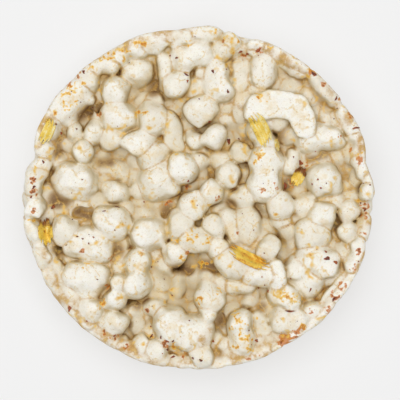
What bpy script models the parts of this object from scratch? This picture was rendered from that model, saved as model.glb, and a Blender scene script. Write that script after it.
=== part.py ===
# A puffed rice cake: one brittle round of puffed grains, fused and pressed between two hot
# plates inside a ring. It lies flat, with the open, lumpy face up.
# Origin: centre of the underside. +Z is up through the thickness. Metres.
import math
import random

import bpy
import bmesh
from mathutils import Matrix, Vector

MM = 0.001

# Driving dimensions, in millimetres
RADIUS = 45.85           # mean radius of the ring's wall
OVAL = 0.3               # how much wider the round is across X than across Y, on the radius
LEAN = 0.3               # how far the round bulges to the upper left
LEAN_TURN = 150.0        # degrees, direction of that bulge
THICKNESS = 17.0         # height between the two plates
PLATE_SOFTNESS = 1.3     # rounding where a grain meets a plate
WALL_SOFTNESS = 1.2      # rounding where a grain meets the ring
GRAIN_WIDTH = 6.6        # usual width of a puffed grain
BEAD_STEP = 0.52         # distance between the lobes of one grain, in widths
BEAD_SWELL = 0.14        # how unevenly the lobes of one grain swell
BEAD_GROWTH = 0.6        # share of that unevenness that goes outward
BEAD_SWAY = 0.06         # how far a lobe stands aside from its grain's line, in widths
LOBE_ROUNDS = 2          # subdivisions of the ball that a lobe starts as
CORE_RADIUS = 40.8       # fused middle that every grain stands in
CORE_LOW = 2.4
CORE_HIGH = 8.6
CORE_SIDES = 64
RIM_ROWS = ((0.0, 6.0), (5.4, 11.6), (10.4, 15.6))  # low and high end of each row of pads
RIM_PAD_LENGTH = 1.3     # length of a pad, in grain widths
RIM_PAD_STEP = 1.12      # distance between pads, in grain widths
RIM_PAD_TURN = 0.03      # radians that a pad may stand off its place
RIM_PAD_LIFT = 0.4       # how far its height may differ
FILLER_INSET = 5.5       # the grains between the placed ones stay this far inside the ring
FILLER_GAP = 0.78        # distance between them, in grain widths
FILLER_LENGTH = 1.25     # length of each, in grain widths
FILLER_TOP = 12.4        # height of each
FILLER_DROP = 1.4        # how much lower one may be
FILLER_LIFT = 1.2        # how much higher one may be
TAKEN_SHARE = 0.8        # share of the gap that is kept from a placed grain
SCATTER_TRIES = 6000
UNDERSIDE_REACH = 3.7    # radius of the lobes pressed on to the lower plate
UNDERSIDE_SPREAD = 0.3   # how far that radius and press may differ
UNDERSIDE_PRESS = 1.4    # how far each of them is pressed in
UNDERSIDE_LIFT = 0.5     # how much less one may be pressed in
UNDERSIDE_GAP = 0.74     # distance between them, in grain widths
UNDERSIDE_INSET = 4.0    # they stay this far inside the ring
PLATE_TOUCH = 0.08       # what lies this near to the lower plate lies on it
WALL_PRESS = 0.6         # how far a pad is pressed in by the ring
VOXEL = 1.15             # cell of the fused skin
FACES = 8200             # triangles of the finished solid
SEED = 11

SHELL_COLOUR = (0.78, 0.70, 0.55, 1.0)
SHELL_ROUGHNESS = 0.72

# Grains of the shown face: x, y, length, width, turn in degrees, height of the crown.
# A crown above THICKNESS is pressed flat by the upper plate.
RIM_GRAINS = [
    (1.5, 43.2, 7.5, 5.0, 0, 17.8),
    (7.0, 40.0, 7.0, 5.0, -60, 16.8),
    (22.5, 37.2, 14.0, 5.0, -30, 16.8),
    (32.0, 29.7, 12.0, 4.6, -50, 16.6),
    (39.4, 19.0, 13.0, 4.6, -68, 16.2),
    (42.0, 8.6, 6.0, 4.6, -80, 16.4),
    (43.0, 2.2, 6.0, 5.0, 90, 17.8),
    (-42.5, -2.0, 6.5, 5.0, 90, 17.6),
    (-42.3, 5.5, 9.5, 5.5, 90, 17.2),
    (-41.0, 13.5, 7.5, 5.2, 76, 16.8),
    (-34.0, 26.3, 13.0, 8.5, 50, 18.6),
    (-24.5, 34.8, 9.0, 5.5, 25, 17.2),
    (-17.0, 39.6, 10.0, 6.0, 22, 17.8),
    (-7.5, 42.4, 13.0, 5.2, 4, 17.6),
    (-40.6, -14.0, 6.5, 5.0, 90, 16.2),
]
UPPER_GRAINS = [
    (-1.5, 37.0, 10.5, 6.5, 10, 18.0),
    (5.0, 31.0, 11.0, 6.5, 90, 17.6),
    (11.0, 32.5, 9.5, 5.0, 85, 15.0),
    (16.2, 33.8, 9.5, 6.8, 90, 17.6),
    (0.4, 22.6, 8.0, 6.0, 0, 17.6),
    (4.0, 16.2, 7.0, 6.5, 0, 17.6),
    (17.0, 7.0, 15.0, 7.4, 85, 18.4),
    (31.5, 16.5, 13.0, 8.0, 12, 18.6),
    (32.8, 4.5, 9.5, 8.5, 0, 17.8),
    (3.0, 2.0, 6.2, 6.2, 0, 17.6),
    (7.5, 7.2, 7.5, 6.8, 30, 16.0),
    (-21.7, 28.3, 7.5, 7.4, 0, 18.0),
    (-20.8, 21.8, 10.5, 8.4, 0, 18.2),
    (-12.6, 19.6, 12.0, 8.4, -40, 18.2),
    (-16.3, 33.3, 9.0, 7.0, 30, 16.4),
    (-8.5, 31.6, 11.0, 4.6, 95, 15.4),
    (-5.3, 30.3, 7.5, 6.2, 0, 17.2),
    (-30.0, 17.6, 9.5, 5.4, 0, 15.4),
    (-31.0, 12.4, 6.6, 5.4, 0, 17.2),
    (-32.0, 5.0, 12.0, 8.6, -25, 18.0),
    (-14.5, 12.0, 9.0, 7.0, -55, 17.6),
    (-10.5, 5.5, 11.0, 9.0, -50, 18.0),
    (-21.8, 3.0, 7.0, 7.0, 0, 15.6),
    (-5.0, 8.3, 8.0, 5.8, -25, 17.0),
]
LOWER_GRAINS = [
    (-34.6, -8.0, 8.0, 6.8, -20, 17.6),
    (-28.8, -12.0, 11.0, 7.6, -25, 17.8),
    (-23.5, -5.5, 9.5, 6.8, -20, 17.4),
    (-13.5, -9.0, 10.0, 9.2, 0, 18.0),
    (-16.3, -19.0, 12.5, 7.0, 92, 18.0),
    (-29.5, -20.8, 10.0, 7.6, 0, 17.6),
    (-27.5, -27.5, 8.5, 7.0, 0, 17.4),
    (-21.3, -23.5, 9.0, 5.0, 88, 16.8),
    (-22.0, -31.3, 7.0, 6.0, 0, 16.8),
    (-11.0, -38.0, 8.0, 6.4, 0, 17.4),
    (-4.0, -34.0, 15.0, 9.0, -25, 19.6),
    (0.4, -38.0, 11.0, 6.4, 92, 18.6),
    (-2.5, -2.5, 9.0, 8.4, -45, 17.8),
    (-5.5, -10.5, 9.5, 8.0, -60, 18.2),
    (0.5, -11.5, 9.0, 6.0, -10, 17.4),
    (9.5, -15.0, 13.5, 6.4, -27, 17.8),
    (4.6, -7.5, 7.0, 5.8, 80, 16.6),
    (12.5, -7.0, 9.5, 6.8, 80, 15.4),
    (21.3, -1.5, 7.5, 6.8, 0, 16.6),
    (31.0, -3.4, 8.0, 5.8, 0, 16.8),
    (29.3, -9.2, 8.0, 7.2, 0, 17.4),
    (17.8, -12.3, 7.0, 6.0, 0, 17.0),
    (18.8, -19.8, 8.5, 6.6, -40, 17.4),
    (29.8, -18.0, 12.0, 7.8, -30, 17.6),
    (22.7, -27.0, 9.0, 8.2, 0, 17.8),
    (30.0, -27.6, 6.6, 5.8, 0, 16.6),
    (3.0, -27.0, 9.5, 7.4, 0, 17.6),
    (11.3, -34.4, 11.0, 6.4, 105, 17.2),
    (38.4, -9.0, 6.6, 5.4, 0, 15.6),
]
# The long curled grain at the upper right, as points along its back
HOOK_BACK = [(14.5, 23.5), (18.4, 25.2), (23.0, 25.0), (26.6, 22.4), (27.2, 18.4)]
HOOK_WIDTH = 6.4
HOOK_TOP = 18.2


def ring_radius(angle):
    """Radius of the ring's wall in the direction of the angle."""
    lean = LEAN * math.cos(angle - math.radians(LEAN_TURN))
    return RADIUS + lean + OVAL * math.cos(2.0 * angle)


def soften(value, limit, softness):
    """The value, bent so that it never passes the limit."""
    knee = limit - softness
    if value <= knee:
        return value
    return knee + softness * math.tanh((value - knee) / softness)


class GrainPile:
    """Collects the lobes of all the grains in one mesh."""

    def __init__(self, seed):
        self.mesh = bmesh.new()
        self.random = random.Random(seed)

    def lobe(self, x, y, z, radius):
        """A ball of puffed crumb."""
        place = Matrix.Translation(Vector((x, y, z)) * MM)
        bmesh.ops.create_icosphere(self.mesh, subdivisions=LOBE_ROUNDS, radius=radius * MM, matrix=place)

    def grain(self, x, y, length, width, turn, top):
        """One puffed grain: a short row of swollen lobes."""
        reach = max(length - width, 0.0)
        lobes = 1 + round(reach / (BEAD_STEP * width))
        along = Vector((math.cos(math.radians(turn)), math.sin(math.radians(turn))))
        across = Vector((-along.y, along.x))
        for number in range(lobes):
            share = 0.5 if lobes == 1 else number / (lobes - 1)
            swell = 1.0 + BEAD_SWELL * self.random.uniform(-1.0, BEAD_GROWTH)
            radius = 0.5 * width * swell
            middle = Vector((x, y)) + along * reach * (share - 0.5)
            middle += across * self.random.uniform(-BEAD_SWAY, BEAD_SWAY) * width
            self.lobe(middle.x, middle.y, top - radius, radius)

    def curl(self, back, width, top):
        """A long grain that bends along the points of its back."""
        for start, end in zip(back, back[1:]):
            for share in (0.0, 0.5):
                middle = Vector(start).lerp(Vector(end), share)
                self.lobe(middle.x, middle.y, top - 0.5 * width, 0.5 * width)
        self.lobe(back[-1][0], back[-1][1], top - 0.5 * width, 0.5 * width)


def scatter(rng, radius, gap, taken):
    """Seeded places inside a circle, each at least a gap from the others and from those taken."""
    places = []
    for _ in range(SCATTER_TRIES):
        angle = rng.uniform(0.0, 2.0 * math.pi)
        reach = radius * math.sqrt(rng.random())
        spot = Vector((reach * math.cos(angle), reach * math.sin(angle)))
        near = [other for other in places if (other - spot).length < gap]
        held = [other for other in taken if (other - spot).length < TAKEN_SHARE * gap]
        if not near and not held:
            places.append(spot)
    return places


def add_shown_face(pile):
    """The placed grains, and lower ones that close the gaps between them."""
    placed = RIM_GRAINS + UPPER_GRAINS + LOWER_GRAINS
    for row in placed:
        pile.grain(*row)
    pile.curl(HOOK_BACK, HOOK_WIDTH, HOOK_TOP)
    taken = [Vector(row[:2]) for row in placed] + [Vector(point) for point in HOOK_BACK]
    for spot in scatter(pile.random, RADIUS - FILLER_INSET, GRAIN_WIDTH * FILLER_GAP, taken):
        top = FILLER_TOP + pile.random.uniform(-FILLER_DROP, FILLER_LIFT)
        turn = pile.random.uniform(0.0, 180.0)
        pile.grain(spot.x, spot.y, GRAIN_WIDTH * FILLER_LENGTH, GRAIN_WIDTH, turn, top)


def add_rim(pile):
    """Pads pressed against the ring, in staggered rows from the underside up."""
    for row, (low, top) in enumerate(RIM_ROWS):
        count = round(2.0 * math.pi * RADIUS / (RIM_PAD_STEP * GRAIN_WIDTH))
        for number in range(count):
            angle = 2.0 * math.pi * (number + 0.5 * (row % 2)) / count
            angle += pile.random.uniform(-RIM_PAD_TURN, RIM_PAD_TURN)
            reach = ring_radius(angle) - 0.5 * (top - low) + WALL_PRESS
            lift = pile.random.uniform(-RIM_PAD_LIFT, RIM_PAD_LIFT)
            x = reach * math.cos(angle)
            y = reach * math.sin(angle)
            turn = math.degrees(angle) + 90.0
            pile.grain(x, y, GRAIN_WIDTH * RIM_PAD_LENGTH, top - low, turn, top + lift)


def add_underside(pile):
    """Grains pressed flat on the lower plate."""
    for spot in scatter(pile.random, RADIUS - UNDERSIDE_INSET, GRAIN_WIDTH * UNDERSIDE_GAP, []):
        radius = UNDERSIDE_REACH + pile.random.uniform(-UNDERSIDE_SPREAD, UNDERSIDE_SPREAD)
        height = radius - UNDERSIDE_PRESS + pile.random.uniform(-UNDERSIDE_SPREAD, UNDERSIDE_LIFT)
        pile.lobe(spot.x, spot.y, height, radius)


def add_core(pile):
    """The fused middle of the round."""
    place = Matrix.Translation((0.0, 0.0, 0.5 * (CORE_LOW + CORE_HIGH) * MM))
    bmesh.ops.create_cone(
        pile.mesh,
        cap_ends=True,
        segments=CORE_SIDES,
        radius1=CORE_RADIUS * MM,
        radius2=CORE_RADIUS * MM,
        depth=(CORE_HIGH - CORE_LOW) * MM,
        matrix=place,
    )


def evaluated_mesh(thing):
    """The object's mesh with its modifiers in it."""
    graph = bpy.context.evaluated_depsgraph_get()
    return bpy.data.meshes.new_from_object(thing.evaluated_get(graph))


def keep_outer_skin(mesh):
    """Removes every loose shell but the largest."""
    work = bmesh.new()
    work.from_mesh(mesh)
    unseen = set(work.faces)
    shells = []
    while unseen:
        shell = set()
        reached = [unseen.pop()]
        while reached:
            face = reached.pop()
            shell.add(face)
            for edge in face.edges:
                for other in edge.link_faces:
                    if other in unseen:
                        unseen.remove(other)
                        reached.append(other)
        shells.append(shell)
    shells.sort(key=len)
    inner = [face for shell in shells[:-1] for face in shell]
    bmesh.ops.delete(work, geom=inner, context="FACES")
    work.to_mesh(mesh)
    work.free()


def press(mesh):
    """Holds every point between the two plates and inside the ring."""
    for vertex in mesh.vertices:
        x, y, z = vertex.co / MM
        angle = math.atan2(y, x)
        reach = math.hypot(x, y)
        held = soften(reach, ring_radius(angle), WALL_SOFTNESS)
        height = max(soften(z, THICKNESS, PLATE_SOFTNESS), 0.0)
        shrink = held / reach if reach > 0.0 else 1.0
        vertex.co = Vector((x * shrink, y * shrink, height)) * MM


def settle(mesh):
    """Puts the points that all but touch the lower plate on to it."""
    for vertex in mesh.vertices:
        if vertex.co.z < PLATE_TOUCH * MM:
            vertex.co.z = 0.0


def centre(mesh):
    """Puts the middle of the round over the origin."""
    across = [vertex.co.x for vertex in mesh.vertices]
    along = [vertex.co.y for vertex in mesh.vertices]
    middle = Vector((min(across) + max(across), min(along) + max(along), 0.0)) / 2.0
    mesh.transform(Matrix.Translation(-middle))


def shell_material():
    """Matt cream skin of puffed rice."""
    material = bpy.data.materials.new("puffed_rice")
    material.use_nodes = True
    shader = material.node_tree.nodes["Principled BSDF"]
    shader.inputs["Base Color"].default_value = SHELL_COLOUR
    shader.inputs["Roughness"].default_value = SHELL_ROUGHNESS
    shader.inputs["Metallic"].default_value = 0.0
    return material


def make_rice_cake(home):
    """Piles up the grains, fuses them into one skin, and presses it."""
    pile = GrainPile(SEED)
    add_core(pile)
    add_underside(pile)
    add_rim(pile)
    add_shown_face(pile)
    mesh = bpy.data.meshes.new("rice_cake")
    pile.mesh.to_mesh(mesh)
    pile.mesh.free()
    cake = bpy.data.objects.new("rice_cake", mesh)
    home.objects.link(cake)

    fuse = cake.modifiers.new("fuse", "REMESH")
    fuse.mode = "VOXEL"
    fuse.voxel_size = VOXEL * MM
    fused = evaluated_mesh(cake)
    cake.modifiers.clear()
    keep_outer_skin(fused)
    press(fused)
    cake.data = fused

    thin = cake.modifiers.new("thin", "DECIMATE")
    thin.ratio = FACES / (2.0 * len(fused.polygons))
    thin.use_collapse_triangulate = True
    thinned = evaluated_mesh(cake)
    cake.modifiers.clear()
    settle(thinned)
    centre(thinned)
    thinned.shade_smooth()
    cake.data = thinned
    cake.data.name = "rice_cake"
    cake.data.materials.clear()
    cake.data.materials.append(shell_material())
    return cake


def main():
    for thing in list(bpy.data.objects):
        bpy.data.objects.remove(thing, do_unlink=True)
    home = bpy.data.collections.new("puffed_rice_cake")
    bpy.context.scene.collection.children.link(home)
    make_rice_cake(home)


main()
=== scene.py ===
import math

import bmesh
import bpy
import numpy as np
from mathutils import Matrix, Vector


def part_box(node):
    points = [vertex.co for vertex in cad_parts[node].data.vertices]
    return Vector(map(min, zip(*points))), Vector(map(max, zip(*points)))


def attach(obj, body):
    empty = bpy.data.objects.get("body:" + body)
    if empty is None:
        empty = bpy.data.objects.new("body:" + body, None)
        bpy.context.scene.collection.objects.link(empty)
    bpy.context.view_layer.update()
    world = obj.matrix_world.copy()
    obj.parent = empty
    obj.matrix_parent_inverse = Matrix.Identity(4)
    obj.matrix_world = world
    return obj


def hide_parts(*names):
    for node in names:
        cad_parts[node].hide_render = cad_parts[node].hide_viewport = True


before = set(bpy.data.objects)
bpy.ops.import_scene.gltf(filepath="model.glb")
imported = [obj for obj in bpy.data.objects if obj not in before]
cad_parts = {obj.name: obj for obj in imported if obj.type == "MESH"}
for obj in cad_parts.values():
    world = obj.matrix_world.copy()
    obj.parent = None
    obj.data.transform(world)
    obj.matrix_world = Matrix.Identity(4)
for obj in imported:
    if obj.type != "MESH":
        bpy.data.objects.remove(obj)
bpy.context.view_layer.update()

import openvdb
from mathutils import Matrix, Vector

cakeLow, cakeHigh = (np.array(corner) * 1000.0 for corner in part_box("rice_cake"))  # mm
ringRadius = 0.5 * (cakeHigh[0] - cakeLow[0])
thickness = cakeHigh[2] - cakeLow[2]
mm = 0.001


def tone(red, green, blue):
    # a colour as it is read off a screen, turned into scene-linear
    return tuple((c / 255.0 / 12.92) if c <= 10 else ((c / 255.0 + 0.055) / 1.055) ** 2.4
                 for c in (red, green, blue)) + (1.0,)


cakeMake = dict(
    seed=7,
    cell=0.35,            # mm, grid that the skin is drawn from
    margin=2.4,           # mm of free grid round the cake
    beadStep=0.56,        # lobes of a grain, in widths
    beadSwell=0.14,
    swell=1.24,           # grains are wider than what shows of them between the seams
    beadBlend=1.3,        # how softly lobes of one grain run together
    seamBlend=0.6,        # the same between grains
    plateBlend=0.9,       # rounding where the plates press
    ringBlend=1.4,
    warps=((7.5, 0.9), (3.2, 0.42)),      # wavelength and reach of the wander
    lumps=((3.1, 0.44), (1.4, 0.19)),     # swelling of the skin itself
    beadSway=0.09,        # how far lobes stray from the grain's line, in widths
    beadDrop=(-0.35, 0.2),
    knobs=1,              # smaller swellings on each lobe
    knobRise=(-0.1, 0.6),
    knobOut=(0.62, 0.8),  # both in radii of the lobe
    knobSize=(0.32, 0.46),
    pressed=0.7,          # mm that crowns at the plate's height lie under it
    highShare=0.25,       # how much of what rises above the plate is kept
    wellRise=1.0,         # mm that the hollows are shallower than noted
    gapDepth=4.6,         # mm below the lobes round it at which a gap is filled
    far=9.0,              # mm, read where no grain is near
    free=2.0,             # mm, written on the grid's outside
    # shade values: cells looked round, and mm out from the skin
    shades=dict(fold=(2, 1.3), shelter=(3, 2.0), hollow=(5, 3.2)),
    triangles=190000,
)

pileMake = dict(
    fillers=dict(gap=4.6, width=(5.2, 7.2), longest=1.6, crown=12.2, spread=(-2.2, 1.6)),
    deep=dict(gap=4.4, width=(4.8, 6.2), longest=1.5, crown=0.0, spread=(5.5, 9.8)),
    margin=5.0,           # mm that both keep from the ring
    scatterShare=0.72,    # of the gap, kept from the grains that are placed one by one
    # thin pads along the ring where no rim grain was placed
    pads=dict(turns=(*np.arange(188, 352, 9.5), 30, 42, 55, 68), inset=2.6, sway=(-0.4, 0.6),
              length=(5.5, 8.5), width=3.2, crown=(13.6, 15.8)),
    shellStep=2.2,        # degrees between the lobes of a shell
    # count, foot and crown of the staggered rows against the ring
    rows=((40, 0.0, 6.2), (43, 4.8, 10.8), (38, 8.8, 14.0)),
    # grains pressed on the lower plate
    under=dict(margin=4.0, gap=5.0, radius=(3.0, 3.9), step=(1.0, 3.4), sunk=(0.7, 1.5), rise=0.4,
               second=0.86),
    gaps=(6.0, 5.0),      # mm between the small lobes that close what is left open
    gapCrown=(2.8, 4.6),  # mm that their crowns lie under the lobes round them
    gapSize=(0.55, 0.72),
)

# x, y, length, width, turn, crown height; a crown above the plate is pressed flat
rimGrains = [
    (1.5, 43.3, 7.5, 4.8, 0, 18), (6.4, 38.9, 5, 4.6, 90, 16.8), (8.2, 41.6, 5.5, 4.2, -40, 16.8),
    (12.6, 39.8, 5.5, 4.2, -20, 14.6), (22.5, 37.3, 14, 4.6, -30, 17), (32, 29.7, 12, 4.2, -51, 16.8),
    (38.9, 21.5, 9, 4, -62, 16.6), (41.3, 14.6, 8, 4, -72, 16.4), (42.4, 9.2, 5.5, 3.6, -80, 16.8),
    (43.5, 2.2, 6, 4.6, 90, 18.2), (-41.2, -14.5, 6.5, 4.2, -72, 16.6), (-43.2, -8, 5.5, 3.8, -82, 16.2),
    (-42.7, -1.8, 6.4, 4.6, 90, 17.9), (-42.9, 4.6, 8, 4.8, 92, 17.4), (-41.6, 9.3, 4.5, 4.2, 80, 16.2),
    (-41, 13.4, 6, 5, 76, 17), (-39.4, 18.6, 7, 5, 64, 16.8), (-34, 26.3, 13, 8.5, 50, 18.8),
    (-29.2, 31.4, 7.5, 5, -58, 16.8), (-25, 34.2, 8.5, 4.6, 12, 17.2), (-19, 38.5, 10.5, 5.6, 25, 18),
    (-10.5, 42, 12, 5.4, 5, 18), (-4, 42.3, 7, 4.6, 0, 17.4), (-26.5, 37, 7, 3.6, 36, 15.6),
]
upperRight = [
    (-1.5, 37, 10.5, 6.5, 10, 18.2), (5, 31, 11, 6.2, 90, 17.8), (1.2, 32.5, 5.5, 4.4, 0, 15.2),
    (11, 32.5, 9.5, 4.4, 85, 15.2), (16.2, 33.8, 9.5, 6.6, 90, 17.8), (18.5, 29.6, 7, 4.6, 40, 14.2),
    (15.5, 27.2, 6.5, 4.4, 0, 12.8), (7.5, 24.7, 7.5, 3.8, 20, 13.2), (0.2, 22.7, 8, 5.6, 0, 17.6),
    (7.7, 20.3, 6.2, 4.2, 0, 13.8), (4, 16.2, 6.8, 5.8, 0, 17.4), (-1.4, 16, 7.5, 6.4, 70, 15.4),
    (10.8, 12.6, 6.4, 5, 0, 15), (17, 7, 15, 7.2, 85, 18.6), (16.8, 17.2, 9, 5.6, -62, 17.2),
    (24.2, 9.8, 6.8, 4.4, 80, 15.2), (32.8, 4.5, 9.5, 8.4, 0, 18), (36.2, 11.2, 5.8, 4.2, 0, 13.8),
    (3, 2, 6, 6, 0, 17.8), (7.5, 6.8, 7.4, 7.2, 30, 16.4), (12, 0.3, 8, 6.2, 0, 15.2),
    (-0.5, 10.4, 6, 4.6, 0, 14.6), (5.4, 10.6, 5.5, 5, 0, 14.6), (38.6, 3.2, 5, 4, 90, 13.4),
    (31.5, 16.5, 13, 8, 12, 18.8), (30, 31, 9, 5, -50, 12), (34.5, 24, 8, 5, -60, 11.6),
    (22, 31, 7, 5, 10, 12.4), (21.5, 15.8, 6, 5, 90, 11), (32, 10.8, 6, 4, 0, 12.2),
    (24.8, 3.6, 5, 4.6, 0, 9.6), (10.5, 17, 5, 4.4, 0, 12.8), (4.6, 13, 5, 3.6, 0, 12.2),
]
upperLeft = [
    (-21.7, 28.3, 7.4, 7.2, 0, 18.2), (-21, 21.8, 10, 8.2, 0, 18.4), (-12.6, 20.2, 11, 8.6, -42, 18.4),
    (-7.2, 17.2, 10, 4.6, 100, 15.6), (-16.3, 33.3, 9, 7, 30, 16.6), (-9, 33, 10, 3.8, 95, 15.4),
    (-5.3, 30.3, 7.6, 6.2, -40, 17.6), (-6, 25.3, 7, 4.6, 20, 12.6), (-32.8, 18, 5.8, 5, 0, 15.4),
    (-27.5, 17.4, 5.6, 5.2, 0, 15.6), (-22.5, 15.8, 5.4, 5.2, 0, 15.4), (-16.6, 14.6, 8, 5.6, -20, 17.6),
    (-31, 12.8, 6.6, 5.2, 0, 17), (-25.2, 11.6, 6.5, 5, 0, 12.8), (-32, 5, 12, 8.4, -25, 18.4),
    (-22.5, 7.6, 10, 4.6, -12, 13), (-21.8, 2.2, 6.8, 6.2, 0, 15.6), (-16.5, 2.8, 5, 4.2, 90, 14.6),
    (-13.2, 11.2, 8, 7.2, -60, 17.8), (-10.5, 5.5, 11, 8.8, -50, 18.4), (-5, 8.4, 7.8, 5.4, -25, 17.2),
    (-2.5, 3.4, 5.5, 4.4, 0, 13), (-30, 23, 6, 5, 0, 10.6), (-11.5, 28.6, 6, 5, 90, 11.2),
    (-27.5, 26, 5.5, 4, 90, 12.8), (-36.2, 20.4, 5, 4, 60, 13.4), (-36.4, 9.6, 6, 4, 90, 12.4),
    (-14.6, 26, 6, 5, 0, 13.6), (-37, 14.5, 5, 4, 90, 10.8),
]
lowerLeft = [
    (-34.8, -7.3, 8, 6.6, -30, 17.9), (-28.8, -12, 11, 7.6, -25, 18.2), (-23.5, -5.6, 9.2, 6.6, -22, 18),
    (-28.6, -2.6, 5.5, 4.8, 0, 12.4), (-13.5, -9, 10, 9, 0, 18.4), (-12, -2.8, 8, 5.8, 0, 12.6),
    (-16.3, -19, 12.5, 6.6, 92, 18.4), (-20.9, -17.2, 5, 4.6, 0, 14.6), (-29.5, -20.8, 10, 7.2, 5, 17.9),
    (-33.4, -25.4, 7, 5, -50, 15.4), (-27.5, -27.5, 8.2, 6.6, 0, 17.6), (-36.4, -19.4, 8, 4.2, -70, 15),
    (-21.3, -23.5, 8.8, 4.6, 88, 17.2), (-22, -31.3, 6.8, 5.8, 0, 17.2), (-16.6, -31, 8.5, 4.2, 88, 13.8),
    (-15.2, -37.6, 6, 4.4, -20, 15.4), (-11, -38.6, 7.5, 6.2, 0, 17.8), (-4, -34, 15, 8.6, -25, 20),
    (0.5, -38.2, 11.5, 6, 92, 19), (-11.8, -28, 6.2, 5.2, 0, 15.2), (-10.6, -22.2, 7, 5.4, 0, 13.6),
    (-6, -22, 7.5, 4.4, 90, 13.2), (-2.5, -2.5, 9, 8, -50, 18.2), (-5, -7.2, 8, 7, 40, 18.4),
    (-1.7, -11.4, 9, 5.6, -15, 17.8), (-6.5, -13.2, 7.8, 6, 0, 17.8), (-36.6, 0.4, 6.5, 5, 0, 9.8),
    (-31.4, -5, 4.6, 4, 0, 10.4), (-37.4, -12.6, 5, 4.4, 60, 10.4), (-21.8, -12.4, 5, 4.2, 0, 10.2),
    (-22.6, -36.2, 8, 4, -28, 14.6),
]
lowerRight = [
    (4, -7.5, 6.4, 5.4, 80, 17), (8, -7, 8, 4.4, 100, 15.4), (12.8, -7, 9, 6, 80, 15.6),
    (21.3, -1.5, 7.2, 6.6, 30, 16.8), (27.8, -1.8, 5.4, 5.2, 0, 15.2), (32.2, -4.3, 6.2, 5.6, 60, 17.2),
    (34.8, -0.8, 6, 3.6, 0, 14.6), (39, -3.2, 6.4, 4.2, 80, 15.2), (38.2, -9, 6.4, 5.2, 40, 15.6),
    (29.3, -9.2, 8, 7, 0, 17.9), (23.2, -8.6, 7, 6, 0, 14.4), (17.8, -12.3, 6.8, 5.8, 0, 17.4),
    (4.6, -12.6, 6.6, 5.4, -30, 16.6), (9.2, -16.2, 8, 5.6, -30, 17.8), (16, -19.6, 9, 5.6, -22, 18),
    (20.7, -19.8, 9, 4.2, 88, 17), (25, -15, 6, 5.2, 60, 13.4), (28, -20.2, 11, 6.8, -30, 16.4),
    (31.4, -16.4, 10.5, 6.4, -30, 17.9), (37, -14.6, 6, 4.6, 70, 15), (22.7, -25.8, 8.8, 6.2, -8, 18),
    (24, -31.2, 10, 6.4, 12, 17.8), (29.8, -27.6, 6, 5.4, 0, 16.8), (12.5, -26.6, 6, 4.8, 0, 13.6),
    (10.5, -22.4, 8, 4.8, -10, 14.8), (2.7, -21.2, 6.6, 5.4, 0, 14.8), (3, -26.4, 9, 6.8, 5, 18),
    (2.3, -30, 4.6, 4.2, 0, 17.4), (5.6, -34.6, 5.5, 4.4, 90, 12), (7.4, -38.6, 6, 4.6, 0, 14.8),
    (11.3, -34.6, 11, 6.2, 105, 17.8), (16.8, -33.2, 7.5, 4.8, 100, 14.8), (17, -27.6, 5, 4.6, 0, 11.8),
    (34, -21.6, 6, 4.6, -50, 14.8), (17.8, -38, 8, 4.2, 20, 14.6), (26, -4.6, 4.6, 4, 0, 12.6),
    (30.8, -31.6, 5, 4, 45, 14.4),
]
hookBack = [(14.5, 23.6), (18.4, 25.0), (23.0, 24.9), (26.4, 22.6), (27.4, 18.8)]  # the long curled grain
hookSize = (6.2, 18.6)
faceGrains = rimGrains + upperRight + upperLeft + lowerLeft + lowerRight

# x, y, length, width, turn, floor: open gaps between the grains
hollows = [
    (29.5, 29.6, 15, 3.6, -46, 8.5), (23.2, 3.6, 4.6, 3.6, 80, 5.5), (22, 17.2, 5, 3.4, 80, 7),
    (30.8, 11, 6, 2.4, 10, 8.5), (5, 13, 3.4, 2.2, 0, 8.5), (8.4, -0.8, 3.4, 2.4, 0, 8.5),
    (-8.4, -2.8, 4.6, 3.6, 60, 7.5), (-30, 22.6, 6, 3.6, 25, 6), (-37.2, 13.4, 6, 2.6, 85, 7),
    (-11.6, 29, 5, 3.4, 80, 8.5), (-36.2, 0.2, 7, 5.4, 10, 7.5), (-30.4, -3.6, 6, 3.2, -25, 6.5),
    (-36.8, -13, 4.4, 4, 60, 6), (-21.2, -13, 5, 3.4, 80, 5), (-16.2, -27.4, 3.6, 2.6, 90, 6),
    (-4.5, -18, 7, 3.4, -10, 7), (2.5, -17.2, 6, 3, 0, 7.5), (10, -19.6, 7, 2.6, -18, 7.5),
    (5.6, -31.6, 3.4, 2.8, 90, 6), (5.4, -40.4, 3, 2.6, 90, 6), (16.4, -28.2, 3.2, 2.6, 0, 6),
    (24.6, -3.6, 2.6, 2, 0, 8.5), (36.6, -5.2, 3, 2, 60, 8.5), (-24.6, 9.6, 5, 2.6, 0, 9),
    (12, 24, 3.6, 2.4, 0, 8.5), (20.8, 12.4, 4, 2.6, 80, 8), (-26, 23.5, 3, 2.4, 60, 7.5),
    (-10, 13.6, 3, 1.8, -50, 9), (24.6, -24, 2.4, 1.8, 0, 9), (-38, 4.6, 4, 2.4, 85, 8),
]

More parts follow.
